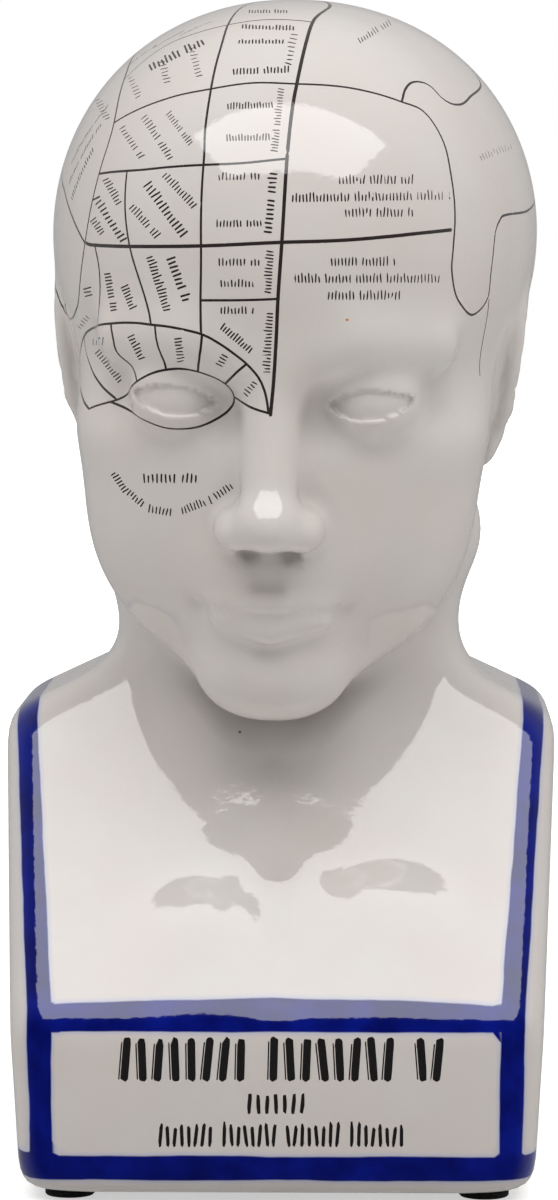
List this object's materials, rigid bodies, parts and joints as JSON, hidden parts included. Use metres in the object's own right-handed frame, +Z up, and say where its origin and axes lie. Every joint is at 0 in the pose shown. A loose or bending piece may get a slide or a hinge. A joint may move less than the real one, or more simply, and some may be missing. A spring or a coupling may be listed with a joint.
{
  "type": "phrenology head",
  "caption": "Glazed ceramic phrenology head: a bald bust on a squared chest block with a mapped skull, standing on small rubber pads.",
  "frame": {"origin": "on the surface it stands on, under the middle of the bust's bounding box", "axes": "+Z up, -Y the way the face looks, +X to the right of someone facing it"},
  "size_m": [0.1366, 0.1482, 0.2894],
  "materials": {
    "glazed_ceramic": "glossy clear glaze over white body, cobalt blue bands and map lines",
    "rubber": "matt"
  },
  "bodies": {
    "root": {"phrenology_bust": "glazed_ceramic", "foot_pad_front_left": "rubber", "foot_pad_front_right": "rubber", "foot_pad_rear_left": "rubber", "foot_pad_rear_right": "rubber"}
  },
  "joints": []
}
